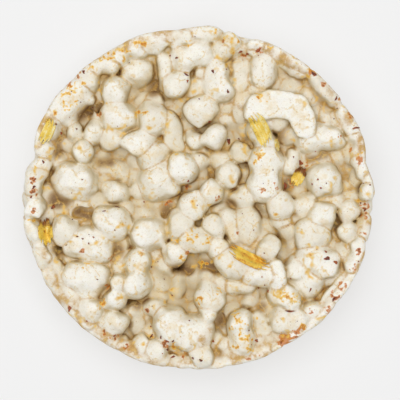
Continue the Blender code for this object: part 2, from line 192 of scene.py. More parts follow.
# x, y, radius of what the hull and the hot plates have coloured
stains = dict(
    gold=[
        (22, -25, 2.2), (24.6, -25.4, 1.8), (19.8, -24.6, 1.6), (10.6, -32, 2.2), (11.6, -35.6, 2.2),
        (9.6, -30, 1.6), (13.4, -38.6, 1.6), (-19.2, 39, 2), (-22.6, 37.6, 1.8), (-32.6, 28.6, 2.2),
        (-34.8, 24, 1.8), (1, -17, 1.6), (-2, -9.6, 2.2), (2, -10.6, 1.8), (-6, -10.6, 1.6),
        (-3, 40.6, 1.6), (15.6, 26.6, 1.4), (22.6, -36.2, 2), (27, -33, 1.6), (-16.3, 40.2, 1.6),
        (-14, 40.4, 1.4), (-25, 36.6, 1.6), (-28, 34, 1.3), (-20, 37, 1.3), (-30.5, 30, 1.4),
        (-35, 27.6, 1.5), (-32, 25, 1.3), (-37.4, 22.6, 1.3), (-16, 22.5, 1.5), (-13.7, 22.3, 1.2),
        (13.3, -36.5, 1.5), (9.5, -38.5, 1.3), (8.4, -33.6, 1.2), (14.6, -31, 1.2), (-6.4, -38.6, 1.6),
        (-42.6, 8, 1.2), (-43.6, -5, 1.2), (15.6, 12, 1.8), (14.2, 10, 1.4), (24.6, 38, 1.6),
        (18.4, 39.6, 1.4), (28.6, 33.6, 1.3), (41.6, 11.6, 1.2), (-12.5, 5.2, 1.2), (22, -24.6, 1.6),
        (26, -26.4, 1.4), (-25, -27, 1.5), (-29.5, -17.6, 1.4), (0, -26, 1.5), (5, -24, 1.3),
        (-4.2, -15, 1.5), (10.6, 41.6, 1.6), (4, 44, 1.3),
    ],
    toast=[
        (-15, -13.8, 1), (-13.5, -28.9, 1.1), (-24, -22.5, 1.1), (-30.3, -13.3, 1), (-4, -40.8, 1.2),
        (13.5, -42.5, 1.7), (16.2, -41.6, 1.6), (22, -37, 1.8), (25.4, -35, 1.7), (-2.7, -13.8, 1),
        (29.8, 32.6, 1.2), (32.4, 30, 1.1), (35.5, -25, 1.9), (37.2, -22.6, 1.5), (33.4, -28.6, 1.4),
        (43.6, -1.6, 1.7), (43.2, -4, 1.3), (42.2, 9.7, 1.5), (40, 13, 1), (38, -31, 1.3),
        (41.4, -13.6, 1.3), (40.2, -18, 1.3), (42.6, -9, 1.1), (27.2, 9, 1.6), (24.4, 4.4, 1.6),
        (37, 26, 1.2), (39.6, 21.8, 1.2), (11.6, 37.6, 1.2), (15.4, 38.6, 1.3), (6.6, 41, 1.2),
        (-43, 2, 1.4), (-43.2, 5, 1.3), (-42.8, -2.6, 1), (-31.6, 32.6, 1.3), (-34, 30.6, 1),
        (-33.6, -28.6, 1.2), (-22, -36, 1.5), (-25, -34.6, 1.1), (-18.8, -38.4, 1.3), (-9, -37.6, 1.3),
        (20, 3, 1.3), (16.4, 2.4, 1.2), (5, 0.4, 1), (-3, 3.4, 1.2), (-8, -1, 1.2), (-22.6, -15.4, 1.3),
        (-26, 22.2, 1.1), (9.6, -9, 1), (36.6, 16, 1), (29, -29, 1),
    ],
)

# from, to in degrees, inset, width, crown of the shells pressed along the ring
rimShells = [
    (186, 206, 1.5, 2.8, 13.8), (203, 226, 1.4, 2.6, 13.9), (223, 246, 1.3, 2.4, 13.4),
    (243, 262, 1.5, 2.8, 14.2), (264, 283, 1.5, 3, 14.6), (281, 300, 1.3, 2.4, 14.4),
    (297, 322, 1.3, 2.5, 15.4), (319, 343, 1.2, 2.6, 15.2), (304, 332, 3.6, 1.6, 15),
    (27, 50, 1.4, 2.8, 15.4), (52, 73, 1.4, 3, 15.8), (96, 124, 1.5, 3.2, 16.2), (150, 163, 1.4, 3, 16),
    (6, 22, 1.3, 2.6, 15.4),
]

# turn, width in degrees, and how far the wall stands out or in there
ringDents = [
    (12, 5, -1.2), (54, 14, -0.4), (75, 4, -0.7), (86, 4, 0.6), (98, 3, -0.4), (110, 6, 0.4),
    (165, 4, -1.4), (200, 5, -0.7), (255, 22, 0.3), (300, 6, -0.4), (322, 9, 0.3),
]


def ringAt(angle):
    # radius of the ring's wall; the round is a little oval and leans to the upper left
    reach = ringRadius + 0.12 + 0.3 * np.cos(angle - math.radians(150)) + 0.75 * (np.cos(2 * angle) - 1.0)
    for place, width, out in ringDents:
        away = (np.degrees(angle) - place + 180.0) % 360.0 - 180.0
        reach = reach + out * np.exp(-(away / width) ** 2)
    return reach


def spread(lattice, size, axis):
    # stretches random numbers along one axis with smooth steps between them
    place = np.linspace(0.0, lattice.shape[axis] - 1.001, size)
    low = place.astype(int)
    part = place - low
    part = (part * part * (3.0 - 2.0 * part)).reshape([-1 if a == axis else 1 for a in range(3)])
    return np.take(lattice, low, axis) * (1.0 - part) + np.take(lattice, low + 1, axis) * part


def wellGap(x, y, row):
    # how far a place lies outside a hollow's outline
    along, across = x - row[0], y - row[1]
    cos, sin = math.cos(math.radians(row[4])), math.sin(math.radians(row[4]))
    run = np.maximum(np.abs(along * cos + across * sin) - 0.5 * (row[2] - row[3]), 0.0)
    return np.hypot(run, across * cos - along * sin) - 0.5 * row[3]


class GrainField:
    # how far each point of a grid is from the skin of the nearest grain, in mm

    def __init__(self, make):
        self.make = make
        self.rng = np.random.default_rng(make["seed"])
        self.low = cakeLow - make["margin"]
        high = cakeHigh + make["margin"]
        self.cell = make["cell"]
        self.size = np.ceil((high - self.low) / self.cell).astype(int) + 1
        self.axes = [self.low[a] + self.cell * np.arange(self.size[a]) for a in range(3)]
        self.near = np.full(self.size, make["far"], np.float32)
        self.next = np.full(self.size, make["far"], np.float32)
        self.joint = np.full(self.size, make["far"], np.float32)  # the gap between lobes of one grain
        self.owner = np.zeros(self.size, np.int32)
        self.count = 0
        self.wander = [self.noise(make["warps"]) * share for share in (1.0, 1.0, 0.5)]

    def noise(self, waves):
        total = np.zeros(self.size, np.float32)
        for length, reach in waves:
            shape = [int(self.size[a] * self.cell / length) + 2 for a in range(3)]
            lattice = self.rng.uniform(-1.0, 1.0, shape).astype(np.float32)
            for axis in range(3):
                lattice = spread(lattice, self.size[axis], axis)
            total += reach * lattice
        return total

    def addBeads(self, beads):
        # beads: rows of x, y, z, radius that make one grain
        beads = np.array(beads)
        reach = beads[:, 3].max() + 2.0 * self.make["beadBlend"]
        first = np.floor((beads[:, :3].min(0) - reach - self.low) / self.cell).astype(int)
        last = np.ceil((beads[:, :3].max(0) + reach - self.low) / self.cell).astype(int)
        first, last = np.clip(first, 0, self.size), np.clip(last, 0, self.size)
        if (last <= first).any():
            return
        part = tuple(slice(first[a], last[a]) for a in range(3))
        x = self.axes[0][part[0]][:, None, None] + self.wander[0][part]
        y = self.axes[1][part[1]][None, :, None] + self.wander[1][part]
        z = self.axes[2][part[2]][None, None, :] + self.wander[2][part]
        soft = self.make["beadBlend"]
        gap = None
        for bx, by, bz, radius in beads:
            away = np.sqrt((x - bx) ** 2 + (y - by) ** 2 + (z - bz) ** 2) - radius
            if gap is None:
                gap = away
                other = np.full_like(away, self.make["far"])
            else:
                other = np.minimum(other, np.maximum(gap, away))
                mix = np.clip(1.0 - np.abs(gap - away) / soft, 0.0, 1.0)
                gap = np.minimum(gap, away) - 0.25 * soft * mix * mix
        near, following = self.near[part], self.next[part]
        self.count += 1
        closer = gap < near
        self.joint[part] = np.where(closer, other - gap, self.joint[part])
        self.next[part] = np.where(closer, near, np.minimum(following, gap))
        self.owner[part] = np.where(closer, self.count, self.owner[part])
        self.near[part] = np.where(closer, gap, near)

    def carve(self, row):
        # leaves a well open above its floor
        x = self.axes[0][:, None, None] + self.wander[0]
        y = self.axes[1][None, :, None] + self.wander[1]
        gap = wellGap(x, y, row)
        floor = row[5] + self.make["wellRise"]
        well = -np.maximum(gap, floor - self.axes[2][None, None, :] - self.wander[2])
        self.near = np.maximum(self.near, well).astype(np.float32)
        self.next = np.maximum(self.next, well).astype(np.float32)

    def addShownGrain(self, x, y, length, width, turn, crown):
        # a grain of the face: its crown stays under the upper plate
        over = crown - thickness
        share = self.make["highShare"] if over > 0.0 else 1.0
        self.addGrain(x, y, length, width, turn, thickness - self.make["pressed"] + over * share)

    def addGrain(self, x, y, length, width, turn, crown):
        # a row of lobes with smaller knobs on them
        make, rng = self.make, self.rng
        reach = max(length - width, 0.0)
        width = width * make["swell"]
        count = 1 + round(reach / (make["beadStep"] * width))
        along = np.array([math.cos(math.radians(turn)), math.sin(math.radians(turn))])
        across = np.array([-along[1], along[0]])
        beads = []
        for number in range(count):
            share = 0.5 if count == 1 else number / (count - 1)
            radius = 0.5 * width * (1.0 + make["beadSwell"] * rng.uniform(-1.0, 0.7))
            spot = np.array([x, y]) + along * reach * (share - 0.5)
            spot = spot + across * rng.uniform(-make["beadSway"], make["beadSway"]) * width
            height = crown - radius + rng.uniform(*make["beadDrop"])
            beads.append((spot[0], spot[1], height, radius))
            for _ in range(make["knobs"]):
                way, rise = rng.uniform(0.0, 2.0 * math.pi), rng.uniform(*make["knobRise"])
                out = radius * rng.uniform(*make["knobOut"])
                beads.append((spot[0] + out * math.cos(way) * math.cos(rise),
                              spot[1] + out * math.sin(way) * math.cos(rise),
                              height + out * math.sin(rise), radius * rng.uniform(*make["knobSize"])))
        self.addBeads(beads)

    def finish(self):
        # runs the grains together and presses them between the plates and inside the ring
        seam = self.make["seamBlend"]
        mix = np.clip(1.0 - (self.next - self.near) / seam, 0.0, 1.0)
        skin = self.near - 0.25 * seam * mix * mix
        skin += self.noise(self.make["lumps"])
        x, y, z = np.meshgrid(*self.axes, indexing="ij", sparse=True)
        wall = np.hypot(x, y) - ringAt(np.arctan2(y, x))
        for limit, soft in ((z - thickness, self.make["plateBlend"]), (-z, self.make["plateBlend"]),
                            (wall, self.make["ringBlend"])):
            mix = np.clip(1.0 - np.abs(skin - limit) / soft, 0.0, 1.0)
            skin = np.maximum(skin, limit) + 0.25 * soft * mix * mix
        self.skin = skin.astype(np.float32)
        self.skin[[0, -1]] = self.skin[:, [0, -1]] = self.skin[:, :, [0, -1]] = self.make["free"]

    def heights(self, values):
        # height of the shown face over each point of the floor grid, in mm
        solid = values < 0.0
        top = self.size[2] - 1 - np.argmax(solid[:, :, ::-1], axis=2)
        top = np.where(solid.any(axis=2), top, 0)
        above = np.take_along_axis(values, np.minimum(top + 1, self.size[2] - 1)[:, :, None], 2)[:, :, 0]
        inside = np.take_along_axis(values, top[:, :, None], 2)[:, :, 0]
        part = np.clip(inside / np.minimum(inside - above, -1e-6), 0.0, 1.0)
        return (self.low[2] + self.cell * (top + part)).astype(np.float32)

    def fillGaps(self, spacing):
        # small lobes close what is left open between the grains, but for the hollows
        face = self.heights(self.near)
        ceiling = face
        for _ in range(round(3.6 / self.cell)):
            wide = np.pad(ceiling, 1, "edge")
            ceiling = np.maximum(wide[:-2, 1:-1], wide[2:, 1:-1])
            ceiling = np.maximum(ceiling, np.maximum(wide[1:-1, :-2], wide[1:-1, 2:]))
        ceiling = blurred(ceiling[:, :, None], 6, (0, 1))[:, :, 0]
        x, y = np.meshgrid(self.axes[0], self.axes[1], indexing="ij")
        depth = np.where(np.hypot(x, y) < ringRadius - 2.0, ceiling - face, 0.0)
        for row in hollows:
            depth = np.where(wellGap(x, y, row) < 0.0, 0.0, depth)
        filled = 0
        while depth.max() > self.make["gapDepth"]:
            i, j = np.unravel_index(int(np.argmax(depth)), depth.shape)
            away = np.hypot(x - x[i, j], y - y[i, j])
            depth = np.where(away < spacing, 0.0, depth)
            crown = ceiling[i, j] - self.rng.uniform(*pileMake["gapCrown"])
            k = int(np.clip((crown - 2.0 - self.low[2]) / self.cell, 0, self.size[2] - 1))
            shift = [self.wander[a][i, j, k] for a in range(3)]
            radius = self.rng.uniform(*pileMake["gapSize"]) * spacing
            turn, step = self.rng.uniform(0.0, 2.0 * math.pi), self.rng.uniform(0.3, 0.9) * radius
            spot = (x[i, j] + shift[0], y[i, j] + shift[1], crown - radius + shift[2])
            second = (spot[0] + step * math.cos(turn), spot[1] + step * math.sin(turn), spot[2] - 0.3)
            self.addBeads([(*spot, radius), (*second, 0.85 * radius)])
            filled += 1
        print("gaps filled:", filled)

    def holdFace(self, blur):
        # the height map that the flakes and chips lie on
        face = self.heights(self.skin)
        self.face = np.maximum(face, blurred(face[:, :, None], blur, (0, 1))[:, :, 0])

    def rise(self, x, y):
        # height of the shown face at a place in mm
        place = (np.array([x, y]) - self.low[:2]) / self.cell
        place = np.clip(place, 0.0, np.array(self.face.shape) - 1.001)
        i, j = place.astype(int)
        s, t = place - (i, j)
        face = self.face
        return float((face[i, j] * (1 - s) + face[i + 1, j] * s) * (1 - t)
                     + (face[i, j + 1] * (1 - s) + face[i + 1, j + 1] * s) * t)

    def read(self, values, points):
        # the field's value at points in mm, between cells
        place = (points - self.low) / self.cell
        place = np.clip(place, 0.0, self.size - 1.001)
        low = place.astype(int)
        part = place - low
        total = 0.0
        for corner in range(8):
            step = np.array([(corner >> a) & 1 for a in range(3)])
            weight = np.prod(np.where(step, part, 1.0 - part), axis=1)
            i, j, k = (low + step).T
            total = total + weight * values[i, j, k]
        return total


def blurred(values, radius, axes=(0, 1, 2)):
    # three box blurs along each axis come close to a round one
    result = values.astype(np.float32)
    for axis in axes:
        for _ in range(3):
            rim = [(radius + 1, radius) if a == axis else (0, 0) for a in range(3)]
            total = np.cumsum(np.pad(result, rim, "edge"), axis=axis, dtype=np.float64)
            size = result.shape[axis]
            upper = np.take(total, np.arange(2 * radius + 1, 2 * radius + 1 + size), axis)
            lower = np.take(total, np.arange(0, size), axis)
            result = ((upper - lower) / (2 * radius + 1)).astype(np.float32)
    return result


def scatter(rng, radius, gap, taken, tries=5000):
    # seeded places in the round, a gap from each other and from those taken
    places = []
    held = np.array(taken).reshape(-1, 2)
    for _ in range(tries):
        angle, reach = rng.uniform(0.0, 2.0 * math.pi), radius * math.sqrt(rng.random())
        spot = np.array([reach * math.cos(angle), reach * math.sin(angle)])
        if len(held) and np.hypot(*(held - spot).T).min() < pileMake["scatterShare"] * gap:
            continue
        if places and np.hypot(*(np.array(places) - spot).T).min() < gap:
            continue
        places.append(spot)
    return places


def dropGrains(field, layer, taken):
    # grains at seeded places, their crowns at seeded heights
    rng = field.rng
    for spot in scatter(rng, ringRadius - pileMake["margin"], layer["gap"], taken):
        width = rng.uniform(*layer["width"])
        length = width * rng.uniform(1.0, layer["longest"])
        turn = rng.uniform(0, 180)
        field.addGrain(*spot, length, width, turn, layer["crown"] + rng.uniform(*layer["spread"]))


def lineRing(field):
    # what is pressed against the ring: pads, long thin shells, and three rows of grains
    rng = field.rng
    pads = pileMake["pads"]
    for angle in np.radians(pads["turns"]):
        reach = ringAt(angle) - pads["inset"] + rng.uniform(*pads["sway"])
        crown = rng.uniform(*pads["crown"])
        turn = math.degrees(angle) + 90 + rng.uniform(-8, 8)
        length = rng.uniform(*pads["length"])
        field.addGrain(reach * math.cos(angle), reach * math.sin(angle), length, pads["width"], turn, crown)
    for start, end, inset, width, crown in rimShells:
        beads = []
        for angle in np.radians(np.arange(start, end, pileMake["shellStep"])):
            reach = ringAt(angle) - inset + rng.uniform(-0.12, 0.12)
            height = crown - 0.5 * width + rng.uniform(-0.3, 0.2)
            radius = 0.5 * width * rng.uniform(0.92, 1.08)
            beads.append((reach * math.cos(angle), reach * math.sin(angle), height, radius))
        field.addBeads(beads)
    for number, (count, low, high) in enumerate(pileMake["rows"]):
        for step in range(count):
            angle = 2.0 * math.pi * (step + 0.5 * (number % 2) + rng.uniform(-0.12, 0.12)) / count
            size = high - low + rng.uniform(-0.7, 0.4)
            reach = ringAt(angle) - 0.5 * size * field.make["swell"] + rng.uniform(-0.1, 0.45)
            length = size * rng.uniform(1.0, 1.5)
            turn = math.degrees(angle) + 90 + rng.uniform(-12, 12)
            crown = high + rng.uniform(-0.4, 0.4)
            field.addGrain(reach * math.cos(angle), reach * math.sin(angle), length, size, turn, crown)


def lineUnderside(field):
    rng = field.rng
    under = pileMake["under"]
    for x, y in scatter(rng, ringRadius - under["margin"], under["gap"], []):
        radius = rng.uniform(*under["radius"])
        turn = rng.uniform(0, 2 * math.pi)
        step = rng.uniform(*under["step"])
        height = radius - rng.uniform(*under["sunk"])
        second = (x + step * math.cos(turn), y + step * math.sin(turn), height + under["rise"])
        field.addBeads([(x, y, height, radius), (*second, radius * under["second"])])


def addHook(field):
    # the long curled grain, thinner between the noted places
    width, crown = hookSize
    hook = []
    for start, end in zip(hookBack, hookBack[1:]):
        for share in (0.0, 0.5):
            spot = np.array(start) * (1.0 - share) + np.array(end) * share
            hook.append((spot[0], spot[1], crown - 0.5 * width, 0.5 * width * (1.06 - 0.12 * share)))
    hook.append((*hookBack[-1], crown - 0.5 * width, 0.5 * width))
    field.addBeads(hook)


def pileGrains(field):
    # lower grains close the gaps, but for the open hollows, and others lie deeper under all
    dropGrains(field, pileMake["fillers"], [row[:2] for row in faceGrains] + hookBack)
    for row in hollows:
        field.carve(row)
    dropGrains(field, pileMake["deep"], [])
    lineRing(field)
    lineUnderside(field)
    for row in faceGrains:
        field.addShownGrain(*row)
    addHook(field)
    for spacing in pileMake["gaps"]:
        field.fillGaps(spacing)


def skinMesh(field, name):
    grid = openvdb.FloatGrid(field.make["free"])
    grid.copyFromArray(field.skin)
    points, quads = grid.convertToQuads(isovalue=0.0)
    points = points * field.cell + field.low
    mesh = bpy.data.meshes.new(name)
    mesh.from_pydata((points * mm).tolist(), [], quads.tolist())
    mesh.validate()
    print("skin:", len(points), "points,", len(quads), "quads")
    return mesh


def outerSkin(mesh):
    # leaves out closed bubbles inside
    work = bmesh.new()
    work.from_mesh(mesh)
    unseen, shells = set(work.faces), []
    while unseen:
        reached, shell = [unseen.pop()], []
        while reached:
            face = reached.pop()
            shell.append(face)
            for edge in face.edges:
                for other in edge.link_faces:
                    if other in unseen:
                        unseen.remove(other)
                        reached.append(other)
        shells.append(shell)
    shells.sort(key=len)
    bmesh.ops.delete(work, geom=[face for shell in shells[:-1] for face in shell], context="FACES")
    print("shells:", len(shells), "volume:", round(work.calc_volume(signed=True) * 1e6, 1), "cm3")
    work.to_mesh(mesh)
    work.free()


def newPiece(mesh):
    piece = bpy.data.objects.new(mesh.name, mesh)
    bpy.context.scene.collection.objects.link(piece)
    return piece


def pieceOf(work, name):
    mesh = bpy.data.meshes.new(name)
    work.to_mesh(mesh)
    work.free()
    return newPiece(mesh)


def settledMesh(piece):
    graph = bpy.context.evaluated_depsgraph_get()
    mesh = bpy.data.meshes.new_from_object(piece.evaluated_get(graph))
    piece.modifiers.clear()
    piece.data = mesh
    return mesh


def addValues(mesh, name, values):
    layer = mesh.attributes.new(name, "FLOAT", "POINT")
    layer.data.foreach_set("value", np.ascontiguousarray(values, dtype=np.float32))


def addStainsAndHollowShade(mesh, points, wall):
    # where the skin is stained, and painted shade where it lies in a hollow; not under the face, nor down
    # the wall
    shown = np.clip((points[:, 2] - 7.0 - 5.5 * np.clip(2.0 - wall, 0.0, 1.0)) / 2.0, 0.0, 1.0)
    for label, spots in stains.items():
        total = np.zeros(len(points))
        for x, y, radius in spots:
            away = np.hypot(points[:, 0] - x, points[:, 1] - y)
            total = np.maximum(total, np.clip(1.5 - away / radius, 0.0, 1.0))
        addValues(mesh, label, total * shown)
    # painted shade round the listed hollows, fading out towards the top
    pitShade = np.zeros(len(points))
    for row in hollows:
        gap = wellGap(points[:, 0], points[:, 1], row)
        pitShade = np.maximum(pitShade, np.clip((0.9 - gap) / 2.4, 0.0, 1.0))
    addValues(mesh, "pitShade", pitShade * shown * np.clip((15.4 - points[:, 2]) / 3.0, 0.0, 1.0))


def makeCake(make):
    field = GrainField(make)
    pileGrains(field)
    field.finish()
    print("grains:", field.count)
    mesh = skinMesh(field, "puffed_grains")
    outerSkin(mesh)
    piece = newPiece(mesh)
    thin = piece.modifiers.new("thin", "DECIMATE")
    thin.ratio = min(1.0, make["triangles"] / (2.0 * len(mesh.polygons)))
    mesh = settledMesh(piece)
    mesh.shade_smooth()
    print("triangles:", sum(len(p.vertices) - 2 for p in mesh.polygons))
    points = np.empty(len(mesh.vertices) * 3)
    normals = np.empty(len(mesh.vertices) * 3)
    mesh.vertices.foreach_get("co", points)
    mesh.vertices.foreach_get("normal", normals)
    points, normals = points.reshape(-1, 3) / mm, normals.reshape(-1, 3)
    seam = field.read(field.next - field.near, points)
    joint = field.read(field.joint, points)
    addValues(mesh, "seam", np.clip(np.minimum(seam, joint + 1.0), 0.0, 4.0))
    solid = (field.skin < 0.0).astype(np.float32)
    for label, (radius, out) in make["shades"].items():
        addValues(mesh, label, field.read(blurred(solid, radius), points + normals * out))
    addValues(mesh, "height", points[:, 2])
    addValues(mesh, "slope", 1.0 - normals[:, 2])
    wall = ringAt(np.arctan2(points[:, 1], points[:, 0])) - np.hypot(points[:, 0], points[:, 1])
    addValues(mesh, "wall", wall)
    addStainsAndHollowShade(mesh, points, wall)
    tints = field.rng.random(field.count + 1).astype(np.float32)
    addValues(mesh, "grain", field.read(tints[field.owner], points - normals * 0.6))
    return piece, field


cake, grainField = makeCake(cakeMake)
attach(cake, "root")
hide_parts("rice_cake")


class Wire:
    # a socket of a finish; sums and products with it become nodes

    def __init__(self, paint, socket):
        self.paint = paint
        self.socket = socket

    def __add__(self, other):
        return self.paint.math("ADD", self, other)

    def __sub__(self, other):
        return self.paint.math("SUBTRACT", self, other)

    def __rsub__(self, other):
        return self.paint.math("SUBTRACT", other, self)

    def __mul__(self, other):
        return self.paint.math("MULTIPLY", self, other)

    __radd__ = __add__
    __rmul__ = __mul__


class Paint:
    # a material and the way its nodes are added

    def __init__(self, name, colour):
        self.skin = colour
        self.material = bpy.data.materials.new(name)
        self.material.use_nodes = True
        self.tree = self.material.node_tree
        self.shader = self.tree.nodes["Principled BSDF"]

    def node(self, kind, settings, sockets, output=0):
        made = self.tree.nodes.new(kind)
        for name, value in settings.items():
            setattr(made, name, value)
        for name, value in sockets.items():
            if isinstance(value, Wire):
                self.tree.links.new(value.socket, made.inputs[name])
            else:
                made.inputs[name].default_value = value
        return Wire(self, made.outputs[output])

    def math(self, operation, first, second):
        return self.node("ShaderNodeMath", {"operation": operation}, {0: first, 1: second})

    def larger(self, first, second):
        return self.math("MAXIMUM", first, second)

    def held(self, name):
        return self.node("ShaderNodeAttribute", {"attribute_name": name}, {}, "Fac")

    def step(self, value, low, high, start=0.0, end=1.0):
        # a soft step of a value, from start to end
        sockets = {"Value": value, "From Min": low, "From Max": high, "To Min": start, "To Max": end}
        return self.node("ShaderNodeMapRange", {"interpolation_type": "SMOOTHSTEP"}, sockets)

    def blend(self, first, second, mask):
        return self.node("ShaderNodeMix", {"data_type": "RGBA"}, {0: mask, 6: first, 7: second}, 2)

    def lay(self, colour, mask):
        # puts a colour over the skin where the mask is high
        self.skin = self.blend(self.skin, colour, mask)

    def place(self):
        return self.node("ShaderNodeTexCoord", {}, {}, "Object")

    def moved(self, place, shift):
        return self.node("ShaderNodeMapping", {}, {"Vector": place, "Location": shift})

    def noise(self, place, length, detail=2.0, rough=0.5, output=0):
        # length is the size of its patches in mm
        sockets = {"Vector": place, "Scale": 1.0 / (length * mm), "Detail": detail, "Roughness": rough}
        return self.node("ShaderNodeTexNoise", {}, sockets, output)

    def shaken(self, place, length, reach):
        # the same places, pushed about by up to half of reach
        sway = self.noise(place, length, output="Color")
        sockets = {0: sway, 1: (reach * mm, reach * mm, reach * mm), 2: place}
        return self.node("ShaderNodeVectorMath", {"operation": "MULTIPLY_ADD"}, sockets)

    def cells(self, place, length, feature="F1", output="Distance"):
        return self.node("ShaderNodeTexVoronoi", {"feature": feature},
                         {"Vector": place, "Scale": 1.0 / (length * mm)}, output)

    def bump(self, height, strength, distance):
        sockets = {"Height": height, "Strength": strength, "Distance": distance * mm}
        return self.node("ShaderNodeBump", {}, sockets)

    def feed(self, **links):
        for name, value in links.items():
            self.tree.links.new(value.socket, self.shader.inputs[name.replace("_", " ")])

    def fix(self, values):
        for name, value in values.items():
            self.shader.inputs[name].default_value = value

    def give(self, piece):
        piece.data.materials.clear()
        piece.data.materials.append(self.material)


# the skin's colours; shade, low, tan, deep and the dark crease brown are mostly used as painted shade, and
# low and tan also colour mottle and pinholes
puffMake = dict(
    cream=tone(246, 243, 234), shade=tone(223, 212, 186), low=tone(202, 185, 143), tan=tone(168, 134, 84),
    deep=tone(112, 76, 42), amber=tone(194, 148, 62), vein=tone(226, 194, 122), gold=tone(240, 194, 70),
    orange=tone(202, 120, 34), toast=tone(124, 56, 22), creaseShade=tone(150, 92, 42),
)


def puffFinish(make):
    paint = Paint("puffed_rice", make["cream"])
    step, lay, held, place = paint.step, paint.lay, paint.held, paint.place()
    seam, fold, shelter = held("seam"), held("fold"), held("shelter")
    hollow, grain = held("hollow"), held("grain")
    slope, height, wall = held("slope"), held("height"), held("wall")
    broad = paint.noise(place, 9.0, 3.0)
    patch = paint.noise(paint.moved(place, (0.3, 0.1, 0.7)), 3.0, 3.0, 0.55)
    fine = paint.noise(place, 0.8, 3.0, 0.6)
    grit = paint.noise(paint.moved(place, (0.5, 0.8, 0.2)), 0.35, 2.0, 0.6)
    drift, jitter = patch - 0.5, fine - 0.5
    uneven = drift * 3.0
    inner = step(wall, 0.8, 3.4)
    # painted shade: each lobe is left whitest on its crown and shaded darker down its sides; grains also
    # differ at random in tone
    sideShade = step(slope + jitter * 0.3 + drift * 0.3, 0.02, 0.6)
    dull = step(grain + (broad - 0.5) * 0.8, 0.3, 1.2, 0.0, 0.45)
    lay(make["shade"], paint.larger(sideShade * (inner * 0.5 + 0.4), dull))
    lay(make["low"], step(slope, 0.3, 0.9) * 0.75 * inner)
    # painted shade: lower and more sheltered places and creases are painted browner
    shelterShade = step(shelter + drift * 0.16, 0.04, 0.45)
    crease = step(fold + jitter * 0.14, 0.2, 0.62)
    lower = step(height + uneven, 8.8, 16.8, 1.0, 0.0) * inner
    paintedShade = paint.larger(paint.larger(shelterShade * 0.9, crease * 0.85), lower * 0.92)
    lay(make["low"], paintedShade)
    # more painted shade: tan in hollows, in creases and towards the bottom, darkest deep in the hollows
    sunk = step(hollow + drift * 0.2, 0.2, 0.66)
    bottom = step(height + uneven, 6.4, 13.4, 1.0, 0.0) * inner
    paintedShade = paint.larger(paint.larger(sunk, bottom) * 0.88, step(crease, 0.4, 1.0) * 0.65)
    lay(make["tan"], paintedShade)
    lay(make["deep"], step(hollow + drift * 0.2, 0.36, 0.8) * 0.8)
    # painted shade: a reddish brown deep in the folds
    lay(make["creaseShade"], step(fold + drift * 0.5, 0.5, 0.85) * 0.6)
    # painted shade in the listed hollows, tan and then darker
    pitShade = held("pitShade") + drift * 0.4
    lay(make["tan"], step(pitShade, 0.05, 0.6) * 0.8)
    lay(make["deep"], step(pitShade, 0.4, 0.95) * 0.65)
    # thin browned lines where lobes touch, and veins that wander over them
    touch = step(seam + jitter * 0.5, 0.06, 0.5, 1.0, 0.0)
    touch = touch * step(patch + jitter * 0.5, 0.36, 0.6, 0.15, 0.9)
    lay(make["amber"], touch)
    cloud = step(paint.noise(paint.moved(place, (0.7, 0.1, 0.3)), 5.0, 4.0, 0.65), 0.52, 0.68)
    lay(make["vein"], cloud * 0.32)
    veins = paint.cells(paint.shaken(place, 3.0, 3.0), 4.6, "DISTANCE_TO_EDGE")
    veins = step(veins, 0.0, 0.07, 1.0, 0.0) * step(patch + jitter * 1.2, 0.44, 0.72)
    lay(make["vein"], veins * 0.7)
    # colour left by hull and hot plates
    speck = paint.noise(paint.moved(place, (0.4, 0.4, 0.9)), 1.0, 1.0, 0.45)
    gold, toast = held("gold"), held("toast")
    lay(make["gold"], step(gold * 0.42 + speck, 0.84, 1.0) * 0.85)
    orange = step(toast * 0.46 + gold * 0.3 + speck, 0.87, 1.0)
    lay(make["orange"], orange * 0.85)
    burnt = step(toast * 0.4 + speck * 0.6 + grit * 0.4, 0.93, 0.99)
    lay(make["toast"], burnt * 0.85)
    # the ring's lip is browned in places
    lip = step(wall + jitter * 0.8, 0.1, 0.8, 1.0, 0.0) * step(height, 11.0, 13.5)
    lip = lip * step(broad + (speck - 0.5) * 2.0, 0.56, 0.72)
    lay(make["amber"], lip * 0.6)
    # soft golden dabs in patches, some with a toasted middle
    dab = paint.noise(paint.moved(place, (0.9, 0.2, 0.4)), 1.7, 1.0, 0.4)
    region = paint.noise(paint.moved(place, (0.2, 0.6, 0.1)), 7.0, 2.0)
    dab = dab + step(region, 0.46, 0.64, -0.2, 0.01)
    lay(make["vein"], step(dab, 0.5, 0.66) * 0.6)
    lay(make["gold"], step(dab, 0.6, 0.74) * 0.65)
    lay(make["orange"], step(dab, 0.7, 0.8) * 0.7)
    # mottled skin and pinholes
    lay(make["low"], step(grit + jitter * 0.6, 0.48, 0.72) * 0.22)
    pores = step(paint.cells(place, 0.7), 0.06, 0.3, 1.0, 0.0)
    pores = pores * step(patch + jitter, 0.5, 0.66)
    lay(make["tan"], pores * 0.6)
    rough = step(fine, 0.3, 0.7, 0.62, 0.82)
    skinBump = paint.bump(grit + fine * 1.4 - pores * 0.8, 0.45, 0.2)
    paint.feed(Base_Color=paint.skin, Roughness=rough, Normal=skinBump)
    paint.fix({"Subsurface Weight": 0.4, "Subsurface Radius": (1.0, 0.9, 0.7), "Subsurface Scale": 0.0014,
               "Specular IOR Level": 0.3})
    return paint


puffFinish(puffMake).give(cake)
print("skin coloured")


hullMake = dict(
    seed=3, strand=0.26, steps=36, thick=0.12, lift=0.2, ridge=0.16, fray=0.34, split=0.3, curl=0.3, blur=1,
    inset=1.6,            # mm kept from the ring's wall
    # x, y, length, width, turn, share of the dark end, how ripe its colour is
    flakes=[
        (16.2, 18.2, 10, 4.2, -64, 0, 0.1), (12.7, -15.3, 12.5, 3.4, -27, 0.1, 0.55),
        (-39.6, 17.8, 7.6, 3.8, 66, 0, 0.1), (-40, -8.4, 7.4, 3.8, 96, 0.35, 0.2),
        (26, 6, 5.4, 3.2, 64, 0.5, 0.35), (20.4, 14.4, 3.6, 1.4, -80, 0.2, 0.2),
    ],
)


